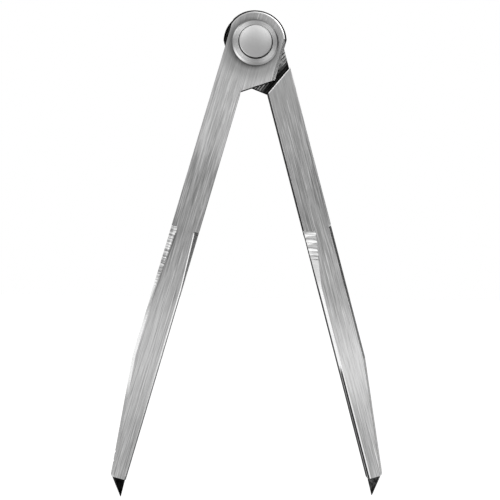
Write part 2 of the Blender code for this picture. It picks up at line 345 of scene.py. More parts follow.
def join_rings(bm, ring, other):
    """Faces between two rings; a ring of one vertex is the tip of a cone."""
    if len(ring) == 1 and len(other) == 1:
        return
    for i in range(ROUND_STEPS):
        j = (i + 1) % ROUND_STEPS
        corners = (ring[i % len(ring)], ring[j % len(ring)], other[j % len(other)], other[i % len(other)])
        bm.faces.new(list(dict.fromkeys(corners)))


# ---------------------------------------------------------------- leg details


def bevel_normal(face, edge):
    """A bevel's outward normal, in the leg's frame."""
    outwards = -1 if edge == "outer" else 1
    away = -1 if face == "front" else 1
    return Vector((outwards * BEVEL_SLOPE, away, 0)).normalized()


def bevel_middle(face, edge, along):
    """The point halfway across a bevel, at a distance from the pivot."""
    outwards = -1 if edge == "outer" else 1
    away = -1 if face == "front" else 1
    corner = -LEG_WIDTH if edge == "outer" else 0.0
    half = bevel_width(face, edge, along) / 2
    return Vector((corner - outwards * half, away * (LEG_THICKNESS / 2 - BEVEL_SLOPE * half), -along))


def wheel_marks(face, edge, first, last, count, wheel, depth, lean, rng):
    """Shallow scallops across a bevel, cut by one comb with a round tooth for each mark."""
    start = bevel_middle(face, edge, first)
    end = bevel_middle(face, edge, last)
    down = (end - start).normalized()
    normal = bevel_normal(face, edge)
    normal = (normal - down * normal.dot(down)).normalized()
    turn = Matrix.Rotation(math.radians(lean), 3, normal)
    pitch = (end - start).length / (count - 1)
    teeth = []
    for i in range(count):
        middle = pitch * (i + rng.uniform(-MARK_JITTER, MARK_JITTER))
        teeth.append((middle, depth * rng.uniform(*MARK_SCATTER)))
    place = axes_to(turn @ down, normal, (turn @ down).cross(normal), start)
    return prism(comb_outline(teeth, wheel, pitch), COMB_WIDTH, place)


def comb_outline(teeth, wheel, pitch):
    """The comb in its own plane: flat above, round teeth below that reach under the bevel."""
    low = -COMB_END * pitch
    high = teeth[-1][0] + COMB_END * pitch
    outline = [(high, COMB_TOP), (low, COMB_TOP)]
    for i in range(int((high - low) / MARK_STEP) + 1):
        s = low + MARK_STEP * i
        reach = COMB_GAP
        for middle, depth in teeth:
            if abs(s - middle) < wheel:
                reach = min(reach, wheel - depth - math.sqrt(wheel**2 - (s - middle) ** 2))
        outline.append((s, reach))
    return outline


def bevel_width(face, edge, along):
    """The width of a bevel at a distance from the pivot."""
    start, first, later = BEVELS[(face, edge)]
    share = min(1.0, max(0.0, (along - start - BEVEL_RUN_OUT) / BEVEL_NARROWS))
    return first + (later - first) * share


def milling_comb():
    """The scalloped space above the lap floor: rows of milling marks that run along the shoulder."""
    top = LAP_FLOOR + MILLING_TOP
    end = SHOULDER - MILLING_FROM_SHOULDER
    start = end - MILLING_PITCH * MILLING_ROWS
    outline = [(end, top), (start, top)]
    for i in range(MILLING_ROWS * MILLING_STEPS + 1):
        s = start + MILLING_PITCH * i / MILLING_STEPS
        depth = MILLING_DEPTH * abs(math.sin(math.pi * i / MILLING_STEPS))
        outline.append((s, LAP_FLOOR - depth - MILLING_SKIN))
    inwards = Vector((0, 1, 0))
    place = axes_to(TO_SHOULDER, inwards, TO_SHOULDER.cross(inwards), Vector())
    return prism(outline, MILLING_WIDTH, place)


def burnish():
    """A thin wedge off the border between the leg's face and its inner bevel."""
    slope = math.atan(BEVEL_SLOPE) / 2
    normal = Vector((math.sin(slope), -math.cos(slope), 0))
    across = Vector((math.cos(slope), math.sin(slope), 0))
    bm = bmesh.new()
    rings = []
    for along in BURNISH_ALONG:
        border = Vector((-bevel_width("front", "inner", along), -LEG_THICKNESS / 2, -along))
        base = border - normal * BURNISH_DEPTH
        reach = across * BURNISH_REACH
        section = (base - reach, base + reach, base + normal)
        rings.append([bm.verts.new(point * MM) for point in section])
    close_loft(bm, rings)
    return finished(bm, "burnish")


def close_loft(bm, rings):
    """Faces between the rings and over the two ends."""
    bm.faces.new(rings[0])
    bm.faces.new(rings[-1])
    for ring, other in zip(rings, rings[1:]):
        for i in range(len(ring)):
            j = (i + 1) % len(ring)
            bm.faces.new((ring[i], ring[j], other[j], other[i]))


def nicks():
    """Cutters for the small round nicks in the outer edge."""
    cutters = []
    for along, radius, depth in NICKS:
        centre = Vector((-leg_width(along) - radius + depth, 0, -along))
        place = axes_to(Vector((1, 0, 0)), Vector((0, 0, 1)), Vector((0, -1, 0)), centre)
        cutters.append(prism(circle(radius, NICK_STEPS), LEG_THICKNESS + 2 * CLEARANCE, place))
    return cutters


def leg_width(along):
    """The width of a leg at a distance from the pivot."""
    share = max(0.0, (along - TAPER_START) / (SHANK_END - TAPER_START))
    return LEG_WIDTH + share * (SHANK_END_WIDTH - LEG_WIDTH)


def plate_rim():
    """The plate's rim from its upper outer side, over the top and down the straight side."""
    end = math.asin(PLATE_SIDE / PLATE_RADIUS)
    angles = [RIM_START + (end - RIM_START) * i / RIM_STEPS for i in range(RIM_STEPS + 1)]
    arc = [(PLATE_RADIUS * math.sin(t), PLATE_RISE + PLATE_RADIUS * math.cos(t)) for t in angles]
    return arc + [(PLATE_SIDE, PLATE_CORNER / 2), (PLATE_SIDE, PLATE_CORNER - CLEARANCE)]


def rim_cutter():
    """What the chamfers take off the plate's rim."""
    path = [Vector((x, 0, z)) for x, z in plate_rim()]
    bm = bmesh.new()
    rings = []
    for i, point in enumerate(path):
        way = (path[min(i + 1, len(path) - 1)] - path[max(i - 1, 0)]).normalized()
        outward = Vector((-way.z, 0, way.x))
        share = min(1.0, RIM_FIRST_SHARE + RIM_GROWTH * i / RIM_STEPS)
        rings.append([bm.verts.new((point + corner) * MM) for corner in rim_section(outward, share)])
    close_loft(bm, rings)
    return finished(bm, "rim")


def rim_section(outward, share):
    """The section between a square corner and its two chamfers, at a share of their full size."""
    face = Vector((0, -LEG_THICKNESS / 2, 0))
    broken = [(out * share, depth * share) for out, depth in RIM_BREAK]
    points = broken + [(CLEARANCE, broken[-1][1]), (CLEARANCE, -CLEARANCE), (broken[0][0], -CLEARANCE)]
    return [face + outward * out + Vector((0, depth, 0)) for out, depth in points]


def leg_mesh(leg):
    """A leg in its own frame, with its edges broken and its marks cut."""
    bm = cad_copy(leg + "_leg", leg_frame(leg))
    mesh = edges_broken(leg, bm, EDGE_BREAK, long_and_sharp)
    rng = random.Random(leg)
    cutters = [rim_cutter(), milling_comb(), burnish()]
    for marks in BEVEL_MARKS:
        cutters.append(wheel_marks(*marks, rng))
    if leg == "front":
        cutters += nicks()
    return carved(leg + "_leg", mesh, cutters)


# ---------------------------------------------------------------- head details


def arc(radius, centre, start, end):
    """Points of an arc in (radius, height), from one angle to another in degrees."""
    points = []
    for i in range(ARC_STEPS + 1):
        t = math.radians(start + (end - start) * i / ARC_STEPS)
        points.append((centre[0] + radius * math.cos(t), centre[1] + radius * math.sin(t)))
    return points


def size_of(node):
    """Radius, front and back of a round CAD node, in mm."""
    low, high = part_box(node)
    return (high.x - low.x) / 2 / MM, low.y / MM, high.y / MM


def bolt_mesh():
    """The CAD bolt with its head trimmed to a dome with a rounded edge."""
    radius, front, back = size_of("pivot_bolt")
    edge = radius - HEAD_INSET
    crown = edge - HEAD_ROUNDING
    ball = (crown**2 + DOME_HEIGHT**2) / (2 * DOME_HEIGHT)
    profile = []
    for i in range(DOME_STEPS + 1):
        r = crown * i / DOME_STEPS
        profile.append((r, front + ball - math.sqrt(ball**2 - r**2)))
    corner = (crown, front + DOME_HEIGHT + HEAD_ROUNDING)
    profile += arc(HEAD_ROUNDING, corner, *HEAD_ARC)
    profile += [(edge, back + CLEARANCE), (0, back + CLEARANCE)]
    shape = turned("dome", profile)
    solid = finished(cad_copy("pivot_bolt", ROW_FRAME), "bolt")
    return carved("pivot_bolt", solid, [shape], "INTERSECT")


def collar_mesh():
    """A turned ring: a groove round the bolt head, a face with fine turning marks and a chamfer."""
    radius, front, back = size_of("head_collar")
    head = size_of("pivot_bolt")[0] - HEAD_INSET
    floor = front + RING_DEPTH
    face_start = head + RING_GROOVE
    face_end = radius - COLLAR_CHAMFER
    edge_across, edge_down = GROOVE_EDGE
    profile = [(COLLAR_HOLE, back), (COLLAR_HOLE, floor)]
    profile += [(head + out, floor) for out in GROOVE_FLOOR]
    profile += [(face_start - edge_across, front + edge_down), (face_start, front)]
    count = int((face_end - face_start) / TURNING_PITCH)
    pitch = (face_end - face_start) / count
    for i in range(count):
        r = face_start + pitch * i
        profile += [(r + TURNING_VALLEY * pitch, front + TURNING_DEPTH), (r + TURNING_CREST * pitch, front)]
    chamfer_end = front + COLLAR_CHAMFER
    before, past = COLLAR_BREAK
    profile += [(face_end, front), (radius - before, chamfer_end - before), (radius, chamfer_end + past)]
    profile += [(radius, back - COLLAR_BACK_BREAK), (radius - COLLAR_BACK_BREAK, back)]
    return turned("head_collar", profile)


def softened(node, break_width):
    """The CAD solid with its edges rounded."""
    bm = cad_copy(node, ROW_FRAME)
    return edges_broken(node, bm, break_width, sharp)


# ---------------------------------------------------------------- materials

# A ramp is (from, to, value before, value after). A grain or a patch size is a noise's cycles per mm along
# x, y and z. A bump is (strength, depth in mm). Places are in mm in a leg's own frame, where z is 0 at the
# pivot and -200 at the points.

# Faces of the legs
# Base tone of each leg's steel. The legs are one steel, and the rear one is painted darker as painted shade
LEG_TONE_AND_SHADE = {"front": 0.26, "rear": 0.14}
LEG_PAINTED_LIGHT = {  # painted light and shade along the leg: (from, to, change), from the pivot
    "front": ((84.0, 140.0, 0.30), (146.0, 186.0, -0.24), (58.0, 46.0, 0.17)),
    "rear": ((70.0, 100.0, 0.12), (108.0, 144.0, 0.34), (144.0, 176.0, -0.31), (58.0, 38.0, 0.09)),
}
# How strong the streaks are, by the distance from the pivot
STREAK_DEPTH = {"front": (13.0, 24.0, 0.55, 1.45), "rear": (24.0, 48.0, 0.4, 1.45)}
FINE_GRAIN = (6.0, 6.0, 0.18)
STREAK_GRAIN = (3.4, 3.4, 0.06)
DRIFT_GRAIN = (0.22, 0.22, 0.03)
GLINT_GRAIN = (2.0, 2.0, 0.045)
GLINT_SHIFT = (7, 3, 0)
GLINTS = (0.62, 0.72, 0.0, 0.22)
FINE_SHARE = 0.35
DRIFT_SHARE = 0.2
LEG_ROUGHNESS = 0.2
LEG_ROUGHER = (0.14, 0.10, -0.1)  # added by the fine lines, by the streaks and on the bevels
LEG_ANISOTROPY = 0.3
STREAK_RELIEF = 1.6  # height of the streaks, next to 1 for the fine lines
LEG_BUMP = (0.35, 0.02)

# Thin scratches a little off the grain: (turn in radians, shift of the noise, width in its values)
THIN_SCRATCHES = ((0.03, (3, 1, 0), 0.008), (-0.05, (11, 5, 2), 0.006))
SCRATCH_GRAIN = (1.3, 1.3, 0.012)
SCRATCH_LEVEL = 0.62
SCRATCH_PATCHES = (0.2, 0.2, 0.05)
SCRATCH_BREAKS = (0.5, 0.6, 0.0, 1.0)
SCRATCH_SHARE = 0.2

# Single scratches on the outside faces, from (x, z) to (x, z)
DEEP_SCRATCHES = {
    "front": (((-2.0, 9.8), (-2.0, 13.0)), ((-0.8, 10.2), (-0.7, 13.3)), ((5.8, 7.9), (6.3, 10.8))),
    "rear": (
        ((-5.1, -70.3), (-4.8, -83.0)),
        ((-6.7, -49.4), (-5.7, -66.9)),
        ((-7.1, -27.2), (-6.9, -33.0)),
        ((-9.2, -127.0), (-8.8, -144.0)),
        ((-10.4, -136.0), (-10.0, -143.0)),
    ),
}
DEEP_SCRATCH_WIDTH = (0.05, 0.25, 1.0, 0.0)
DEEP_SCRATCH_FADE = 0.4
DEEP_SCRATCH_SHARE = 0.2

# Bevels. Bands that the wheel left on them: (mean tone, contrast, pitch in mm, tilt across the leg)
OUTER_BANDS = (0.68, 0.28, 1.1, 0.0)
INNER_BANDS = (0.84, 0.3, 1.6, -0.17)
BAND_NOISE = (0.42, 0.58)
BAND_CHANGE_ACROSS = 0.1  # cycles per mm
OUTER_BANDS_END = (-105.0, -113.0, 0.0, 1.0)
INNER_BANDS_END = (-94.5, -96.0, 0.0, 1.0)
OUTER_BEVEL_ACROSS = (-11.1, -10.3, 0.75, 1.2)  # across the leg: darker towards its outer edge
OUTER_PLAIN = (-150.0, -162.0, 0.92, 0.42)
INNER_PLAIN = (-104.0, -112.0, 0.7, 1.0)
BEVEL_DARK_STRIP = (-0.92, -0.76, 1.0, 0.03)  # across the leg
BEVEL_DARK_STRIP_START = (-142.0, -147.0, 0.0, 1.0)
# Tone of the burnished bevels, also used for the painted highlight on the plate's rim
BURNISH_AND_RIM_HIGHLIGHT = 1.0
BURNISH_FADE = (-120.0, -180.0, BURNISH_AND_RIM_HIGHLIGHT, 0.5)
BEVEL_GRAIN = (0.5, 0.5, 3.4)
GRIND_SPREAD = 0.5
BEVEL_FROM = (0.1, 0.18, 0.0, 1.0)  # how far a face turns to the side when it is a bevel
BEVEL_TO = (0.5, 0.7, 1.0, 0.0)
RUN_OUT_PLACE = 86.1  # where the front inner bevel starts, from the pivot
# Painted shade on the run-out, by distance from its place and across the leg
RUN_OUT_SHADE = (0.4, 0.7, 0.8, 0.0)
RUN_OUT_ACROSS = (-2.0, -1.7, 0.0, 1.0)

# Dark line along the border of the front outer bevel; it leans from the leg's edge
BORDER_LEAN = -0.064
BORDER_PLACE = 3.55  # to the outer side, where the line would reach the pivot
BORDER_SHADE = (0.25, 0.8, 0.46, 0.0)
BORDER_START = (-86.0, -90.0, 0.0, 1.0)
BORDER_END = (-120.0, -130.0, 1.0, 0.0)

# Painted highlight and shade on the rim, and the shoulder's glint
UPPER_RIM = (-3.0, 0.0, 0.0, 1.0)
RIM_BRIGHT_SOFT = 0.1
RIM_DARK_SOFT = 0.08
RIM_DARK = 0.05
GLINT_FROM_SHOULDER = 0.2
SHOULDER_GLINT = (0.12, 0.3, 0.35, 0.0)

# Painted shade in the lap, by distance along the way to the shoulder, by x, by z and by y
LAP_SHADE_BY_SHOULDER = (SHOULDER - 7.4, SHOULDER - 1.8, 0.0, 1.0)
LAP_SHADE_BY_EDGE = (-5.0, -1.0, 0.0, 0.66)
LAP_SHADE_BY_TOP = (-3.0, 0.0, 0.0, 1.0)
LAP_SHADE_DEPTH = 0.99
LAP_ABOVE_FLOOR = (LAP_FLOOR - 0.35, LAP_FLOOR - 0.15, 0.0, 1.0)
LAP_ABOVE_SHOULDER = (SHOULDER + 0.02, SHOULDER - 0.02, 0.0, 1.0)
# Painted light on the open lap floor
LAP_LIGHT_GAIN = 0.9

# Painted shade on the underside of the plate's foot, and a painted contact shadow round the collar
FOOT_TURNED_DOWN = (-0.4, -0.6, 0.0, 1.0)
FOOT_BY_HEAD = (-40.0, -30.0, 0.0, 1.0)
FOOT_SHADE_DEPTH = 0.97
COLLAR_SHADOW_CENTRE = (-0.7, -0.5)
COLLAR_SHADOW_RING = (9.3, 12.4, 0.42, 1.0)
COLLAR_SHADOW_BROAD = (12.0, 18.0, 0.66, 1.0)

# Points
# Base tone of each point. The points are one hard metal, and the front one is painted darker as painted
# shade
POINT_TONE_AND_SHADE = {"front": 0.006, "rear": 0.07}
POINT_GRAIN = (7.0, 7.0, 0.5)
POINT_PATCHES = (0.9, 0.9, 0.6)
POINT_MOTTLE = (0.38, 0.62, 0.35, 1.4)
POINT_TIP = (-195.0, -198.5, 1.0, 0.2)
POINT_ROUGHNESS = 0.3
POINT_ROUGHER = 0.2  # added by the grinding marks
POINT_BUMP = (0.5, 0.02)

# Turned pieces
RING_CYCLES = 7.0  # per mm of radius
RING_CYCLES_DEEP = 2.0  # per mm along the axis
TURNED_PATCHES = (0.5, 0.5, 0.5)
PATCH_SPREAD = 0.08
RING_ROUGHNESS = 0.12
PAINTED_SHEEN_SECTORS = 4.0  # pairs of lighter and darker sectors of painted sheen
TURNED_BUMP = (0.25, 0.015)
STEEL_GREY = (0.58, 0.58, 0.58)
SPRING_GREY = (0.3, 0.31, 0.34)
BRONZE = (0.56, 0.38, 0.2)


class Graph:
    """Short calls to build a material's nodes."""

    def __init__(self, tree):
        self.tree = tree

    def node(self, kind, **settings):
        made = self.tree.nodes.new(kind)
        for key, value in settings.items():
            setattr(made, key, value)
        return made

    def link(self, source, target):
        self.tree.links.new(source, target)

    def feed(self, value, socket):
        """Give a socket a number, or link it to the socket that holds its value."""
        if isinstance(value, (int, float)):
            socket.default_value = value
        else:
            self.link(value, socket)

    def math(self, operation, a, b=None, c=None, clamp=False):
        made = self.node("ShaderNodeMath", operation=operation, use_clamp=clamp)
        for socket, value in zip(made.inputs, (a, b, c)):
            if value is not None:
                self.feed(value, socket)
        return made.outputs[0]

    def times(self, first, *others):
        """The product of two or more values."""
        for other in others:
            first = self.math("MULTIPLY", first, other)
        return first

    def away_from(self, value, place):
        """How far a value is from a place, either way."""
        return self.math("ABSOLUTE", self.math("SUBTRACT", value, place))

    def length(self, a, b):
        return self.math("SQRT", self.math("MULTIPLY_ADD", a, a, self.math("MULTIPLY", b, b)))

    def remap(self, value, low, high, to_low, to_high):
        """A smooth ramp between two values."""
        made = self.node("ShaderNodeMapRange", interpolation_type="SMOOTHSTEP")
        self.link(value, made.inputs[0])
        for socket, number in zip(made.inputs[1:5], (low, high, to_low, to_high)):
            socket.default_value = number
        return made.outputs[0]

    def mix(self, share, a, b):
        """a where the share is 0 and b where it is 1."""
        made = self.node("ShaderNodeMix")
        for socket, value in zip(("Factor", "A", "B"), (share, a, b)):
            self.feed(value, made.inputs[socket])
        return made.outputs["Result"]

    def split(self, vector):
        made = self.node("ShaderNodeSeparateXYZ")
        self.link(vector, made.inputs[0])
        return made.outputs

    def scaled(self, vector, scale, turn=(0, 0, 0), shift=(0, 0, 0)):
        made = self.node("ShaderNodeMapping")
        made.inputs["Scale"].default_value = scale
        made.inputs["Rotation"].default_value = turn
        made.inputs["Location"].default_value = shift
        self.link(vector, made.inputs["Vector"])
        return made.outputs["Vector"]

    def noise(self, vector, detail=2.0, rough=0.5):
        made = self.node("ShaderNodeTexNoise")
        made.inputs["Scale"].default_value = 1.0
        made.inputs["Detail"].default_value = detail
        made.inputs["Roughness"].default_value = rough
        self.link(vector, made.inputs["Vector"])
        return made.outputs["Fac"]

    def grey(self, value):
        made = self.node("ShaderNodeCombineColor")
        for socket in made.inputs:
            self.link(value, socket)
        return made.outputs[0]

    def vary(self, noise, spread):
        """A factor that follows a noise and is 1 at its middle."""
        return self.math("MULTIPLY_ADD", noise, spread, 1 - spread / 2)

    def facing(self):
        """The x, y and z of the direction that a face points in, in the piece's own frame."""
        return self.split(self.node("ShaderNodeTexCoord").outputs["Normal"])

    def bump(self, shader, height, strength, depth):
        """Relief on a shader, with a depth in mm."""
        made = self.node("ShaderNodeBump")
        made.inputs["Strength"].default_value = strength
        made.inputs["Distance"].default_value = depth * MM
        self.link(height, made.inputs["Height"])
        self.link(made.outputs[0], shader.inputs["Normal"])


def start_material(name):
    """A new metal: its material, graph, shader and the position in the piece's own frame in mm."""
    material = bpy.data.materials.new(name)
    material.use_nodes = True
    graph = Graph(material.node_tree)
    shader = material.node_tree.nodes["Principled BSDF"]
    shader.inputs["Metallic"].default_value = 1.0
    coordinates = graph.node("ShaderNodeTexCoord")
    millimetres = graph.scaled(coordinates.outputs["Object"], (1000, 1000, 1000))
    return material, graph, shader, millimetres


def brushed_along(graph, position):
    """Grain that runs along z: fine lines, streaks and broad drifts, each from 0 to 1."""
    fine = graph.noise(graph.scaled(position, FINE_GRAIN), detail=2.0)
    streak = graph.noise(graph.scaled(position, STREAK_GRAIN), detail=3.0, rough=0.7)
    drift = graph.noise(graph.scaled(position, DRIFT_GRAIN), detail=1.0)
    return fine, streak, drift


def thin_scratches(graph, position, turn, shift, width):
    """Thin light lines, a little off the grain."""
    value = graph.noise(graph.scaled(position, SCRATCH_GRAIN, turn=(0, turn, 0), shift=shift), detail=0.0)
    line = graph.remap(graph.away_from(value, SCRATCH_LEVEL), 0.0, width, 1.0, 0.0)
    patches = graph.noise(graph.scaled(position, SCRATCH_PATCHES, shift=shift))
    return graph.times(line, graph.remap(patches, *SCRATCH_BREAKS))


def face_tone(graph, position, leg):
    """Streaks along the leg, with painted light and shade in bands along it."""
    fine, streak, drift = brushed_along(graph, position)
    x, _, z = graph.split(position)
    depth = graph.remap(graph.length(x, z), *STREAK_DEPTH[leg])
    bright = graph.noise(graph.scaled(position, GLINT_GRAIN, shift=GLINT_SHIFT), detail=1.0)
    tone = graph.math("MULTIPLY_ADD", graph.math("SUBTRACT", streak, 0.5), depth, LEG_TONE_AND_SHADE[leg])
    tone = graph.math("ADD", tone, graph.times(graph.remap(bright, *GLINTS), depth))
    tone = graph.math("MULTIPLY_ADD", drift, DRIFT_SHARE, tone)
    tone = graph.math("MULTIPLY_ADD", fine, FINE_SHARE, tone)
    for start, end, change in LEG_PAINTED_LIGHT[leg]:
        tone = graph.math("ADD", tone, graph.remap(z, -start, -end, 0.0, change))
    for scratch in THIN_SCRATCHES:
        line = thin_scratches(graph, position, *scratch)
        tone = graph.math("MULTIPLY_ADD", line, SCRATCH_SHARE, tone)
    return tone, fine, streak


def wheel_bands(graph, position, mean, contrast, pitch, tilt):
    """Irregular bands across a bevel, where the wheel's marks cross it."""
    x, _, z = graph.split(position)
    place = graph.node("ShaderNodeCombineXYZ")
    graph.link(graph.times(graph.math("MULTIPLY_ADD", x, tilt, z), 1 / pitch), place.inputs["Z"])
    graph.link(graph.times(x, BAND_CHANGE_ACROSS), place.inputs["X"])
    bands = graph.noise(place.outputs[0], detail=1.0)
    return graph.remap(bands, *BAND_NOISE, mean - contrast, mean + contrast)


def outer_bevel_tone(graph, position):
    """Bands at the start, then plain metal that dulls towards the point; the back one is burnished."""
    x, y, z = graph.split(position)
    banded = graph.times(wheel_bands(graph, position, *OUTER_BANDS), graph.remap(x, *OUTER_BEVEL_ACROSS))
    front = graph.mix(graph.remap(z, *OUTER_BANDS_END), banded, graph.remap(z, *OUTER_PLAIN))
    return graph.mix(graph.math("LESS_THAN", y, 0.0), BURNISH_AND_RIM_HIGHLIGHT, front)


def inner_bevel_tone(graph, position):
    """Bands at the start, plain metal, then a near-black strip by the inner edge; the front one is
    burnished.
    """
    x, y, z = graph.split(position)
    banded = wheel_bands(graph, position, *INNER_BANDS)
    back = graph.mix(graph.remap(z, *INNER_BANDS_END), banded, graph.remap(z, *INNER_PLAIN))
    back = graph.mix(graph.remap(z, *BEVEL_DARK_STRIP_START), back, graph.remap(x, *BEVEL_DARK_STRIP))
    return graph.mix(graph.math("LESS_THAN", y, 0.0), back, graph.remap(z, *BURNISH_FADE))


def bevel_tone(graph, position):
    """The tone of all four bevels, with the fine lines that the wheel leaves across them."""
    x = graph.split(position)[0]
    inner = inner_bevel_tone(graph, position)
    outer = outer_bevel_tone(graph, position)
    tone = graph.mix(graph.math("LESS_THAN", x, -LEG_WIDTH / 2), inner, outer)
    fine = graph.noise(graph.scaled(position, BEVEL_GRAIN), detail=2.0, rough=0.7)
    return graph.times(tone, graph.vary(fine, GRIND_SPREAD))


def on_bevel(graph):
    """1 on the bevels and 0 elsewhere, told by how far a face turns to the side."""
    aside = graph.math("ABSOLUTE", graph.facing()[0])
    return graph.times(graph.remap(aside, *BEVEL_FROM), graph.remap(aside, *BEVEL_TO))


def run_out_painted_shade(graph, position):
    """Painted shade at the very start of the front inner bevel, where its run-out faces down, and 1
    elsewhere.
    """
    x, y, z = graph.split(position)
    near = graph.remap(graph.away_from(z, -RUN_OUT_PLACE), *RUN_OUT_SHADE)
    inside = graph.times(graph.remap(x, *RUN_OUT_ACROSS), graph.math("LESS_THAN", y, 0.0))
    return graph.math("SUBTRACT", 1.0, graph.times(near, inside))


def rim_painted_light(graph, position, shade):
    """The plate's rim: a painted highlight on its inner chamfer and painted shade on its outer one."""
    x, _, z = graph.split(position)
    radius = graph.length(x, graph.math("SUBTRACT", z, PLATE_RISE))
    upper = graph.remap(z, *UPPER_RIM)
    bright_from, dark_from = (PLATE_RADIUS + out for out, _ in RIM_BREAK[:2])
    bright = graph.times(graph.remap(radius, bright_from, bright_from + RIM_BRIGHT_SOFT, 0.0, 1.0), upper)
    dark = graph.times(graph.remap(radius, dark_from, dark_from + RIM_DARK_SOFT, 0.0, 1.0), upper)
    return graph.mix(dark, graph.mix(bright, shade, BURNISH_AND_RIM_HIGHLIGHT), RIM_DARK)


def border_line(graph, position):
    """A soft dark line on the front face, along the border of the outer bevel."""
    x, y, z = graph.split(position)
    off = graph.away_from(graph.math("MULTIPLY_ADD", z, BORDER_LEAN, x), -BORDER_PLACE)
    line = graph.times(graph.remap(off, *BORDER_SHADE), graph.math("LESS_THAN", y, 0.0))
    ends = graph.times(graph.remap(z, *BORDER_START), graph.remap(z, *BORDER_END))
    return graph.math("SUBTRACT", 1.0, graph.times(line, ends))


def deep_scratches(graph, position, leg):
    """Single scratches that catch the light, each between two places on the outside face."""
    x, _, z = graph.split(position)
    total = 0.0
    for (x_start, z_start), (x_end, z_end) in DEEP_SCRATCHES[leg]:
        slope = (x_end - x_start) / (z_end - z_start)
        off = graph.away_from(graph.math("MULTIPLY_ADD", z, -slope, x), x_start - slope * z_start)
        half = abs(z_end - z_start) / 2
        along = graph.away_from(z, (z_start + z_end) / 2)
        ends = graph.remap(along, half - DEEP_SCRATCH_FADE, half + DEEP_SCRATCH_FADE, 1.0, 0.0)
        total = graph.math("MULTIPLY_ADD", graph.remap(off, *DEEP_SCRATCH_WIDTH), ends, total)
    return total


def way_to_shoulder(graph, x, z):
    """The distance from the pivot axis, square to the shoulder."""
    return graph.math("MULTIPLY_ADD", x, TO_SHOULDER.x, graph.times(z, TO_SHOULDER.z))


def shoulder_glint(graph, position):
    """A thin light line where the face of the leg breaks off to its shoulder."""
    x, y, z = graph.split(position)
    off = graph.away_from(way_to_shoulder(graph, x, z), SHOULDER + GLINT_FROM_SHOULDER)
    return graph.times(graph.remap(off, *SHOULDER_GLINT), graph.math("GREATER_THAN", y, 0.0))


def lap_painted_shade(graph, position):
    """1 on steel outside the lap. In it, painted light on the open floor and painted shade, almost 0, which
    lies by the shoulder, by the inner edge and round the top of the plates."""
    x, y, z = graph.split(position)
    distance = way_to_shoulder(graph, x, z)
    in_lap = graph.times(graph.remap(y, *LAP_ABOVE_FLOOR), graph.remap(distance, *LAP_ABOVE_SHOULDER))
    lap_shade_share = graph.remap(z, *LAP_SHADE_BY_TOP)
    lap_shade_share = graph.math("MAXIMUM", lap_shade_share, graph.remap(distance, *LAP_SHADE_BY_SHOULDER))
    lap_shade_share = graph.math("MAXIMUM", lap_shade_share, graph.remap(x, *LAP_SHADE_BY_EDGE))
    lap_lit = graph.math("MULTIPLY_ADD", in_lap, LAP_LIGHT_GAIN, 1.0)
    return graph.times(lap_lit, graph.math("SUBTRACT", 1.0, graph.times(lap_shade_share, in_lap, LAP_SHADE_DEPTH)))


def foot_painted_shade(graph, position):
    """Painted shade: almost 0 on the underside of the plate's foot, told by how far a face turns down, and
    1 elsewhere.
    """
    down = graph.remap(graph.facing()[2], *FOOT_TURNED_DOWN)
    by_head = graph.remap(graph.split(position)[2], *FOOT_BY_HEAD)
    return graph.math("MULTIPLY_ADD", graph.times(down, by_head), -FOOT_SHADE_DEPTH, 1.0)


def joint_painted_shadow(graph, position):
    """A painted contact shadow round the collar or the washer: a dark ring on the outside face, in a broad
    soft painted shade.
    """
    x, _, z = graph.split(position)
    across = graph.math("SUBTRACT", x, COLLAR_SHADOW_CENTRE[0])
    radius = graph.length(across, graph.math("SUBTRACT", z, COLLAR_SHADOW_CENTRE[1]))
    return graph.times(graph.remap(radius, *COLLAR_SHADOW_RING), graph.remap(radius, *COLLAR_SHADOW_BROAD))


def leg_steel(leg):
    """Steel brushed along the leg, with bright bevels and with painted shade in the lap."""
    material, graph, shader, position = start_material(leg + "_leg_steel")
    face, fine, streak = face_tone(graph, position, leg)
    bevel = on_bevel(graph)
    shade = graph.mix(bevel, face, bevel_tone(graph, position))
    shade = graph.math("MULTIPLY_ADD", deep_scratches(graph, position, leg), DEEP_SCRATCH_SHARE, shade)
    shade = graph.times(shade, border_line(graph, position))
    shade = graph.math("ADD", shade, shoulder_glint(graph, position))
    shade = graph.times(shade, foot_painted_shade(graph, position), run_out_painted_shade(graph, position))
    shade = rim_painted_light(graph, position, shade)
    shade = graph.times(shade, lap_painted_shade(graph, position))
    shade = graph.math("MULTIPLY", shade, joint_painted_shadow(graph, position), clamp=True)
    graph.link(graph.grey(shade), shader.inputs["Base Color"])

    rough = LEG_ROUGHNESS
    for marks, rougher in zip((fine, streak, bevel), LEG_ROUGHER):
        rough = graph.math("MULTIPLY_ADD", marks, rougher, rough)
    graph.link(rough, shader.inputs["Roughness"])
    shader.inputs["Anisotropic"].default_value = LEG_ANISOTROPY
    graph.link(grain_direction(graph), shader.inputs["Tangent"])
    graph.bump(shader, graph.math("MULTIPLY_ADD", streak, STREAK_RELIEF, fine), *LEG_BUMP)
    return material


def grain_direction(graph):
    """The piece's own z, as a direction in the world."""
    up = graph.node("ShaderNodeCombineXYZ")
    up.inputs["Z"].default_value = 1.0
    turn = graph.node("ShaderNodeVectorTransform", vector_type="VECTOR")
    turn.convert_from = "OBJECT"
    turn.convert_to = "WORLD"
    graph.link(up.outputs[0], turn.inputs[0])
    return turn.outputs[0]


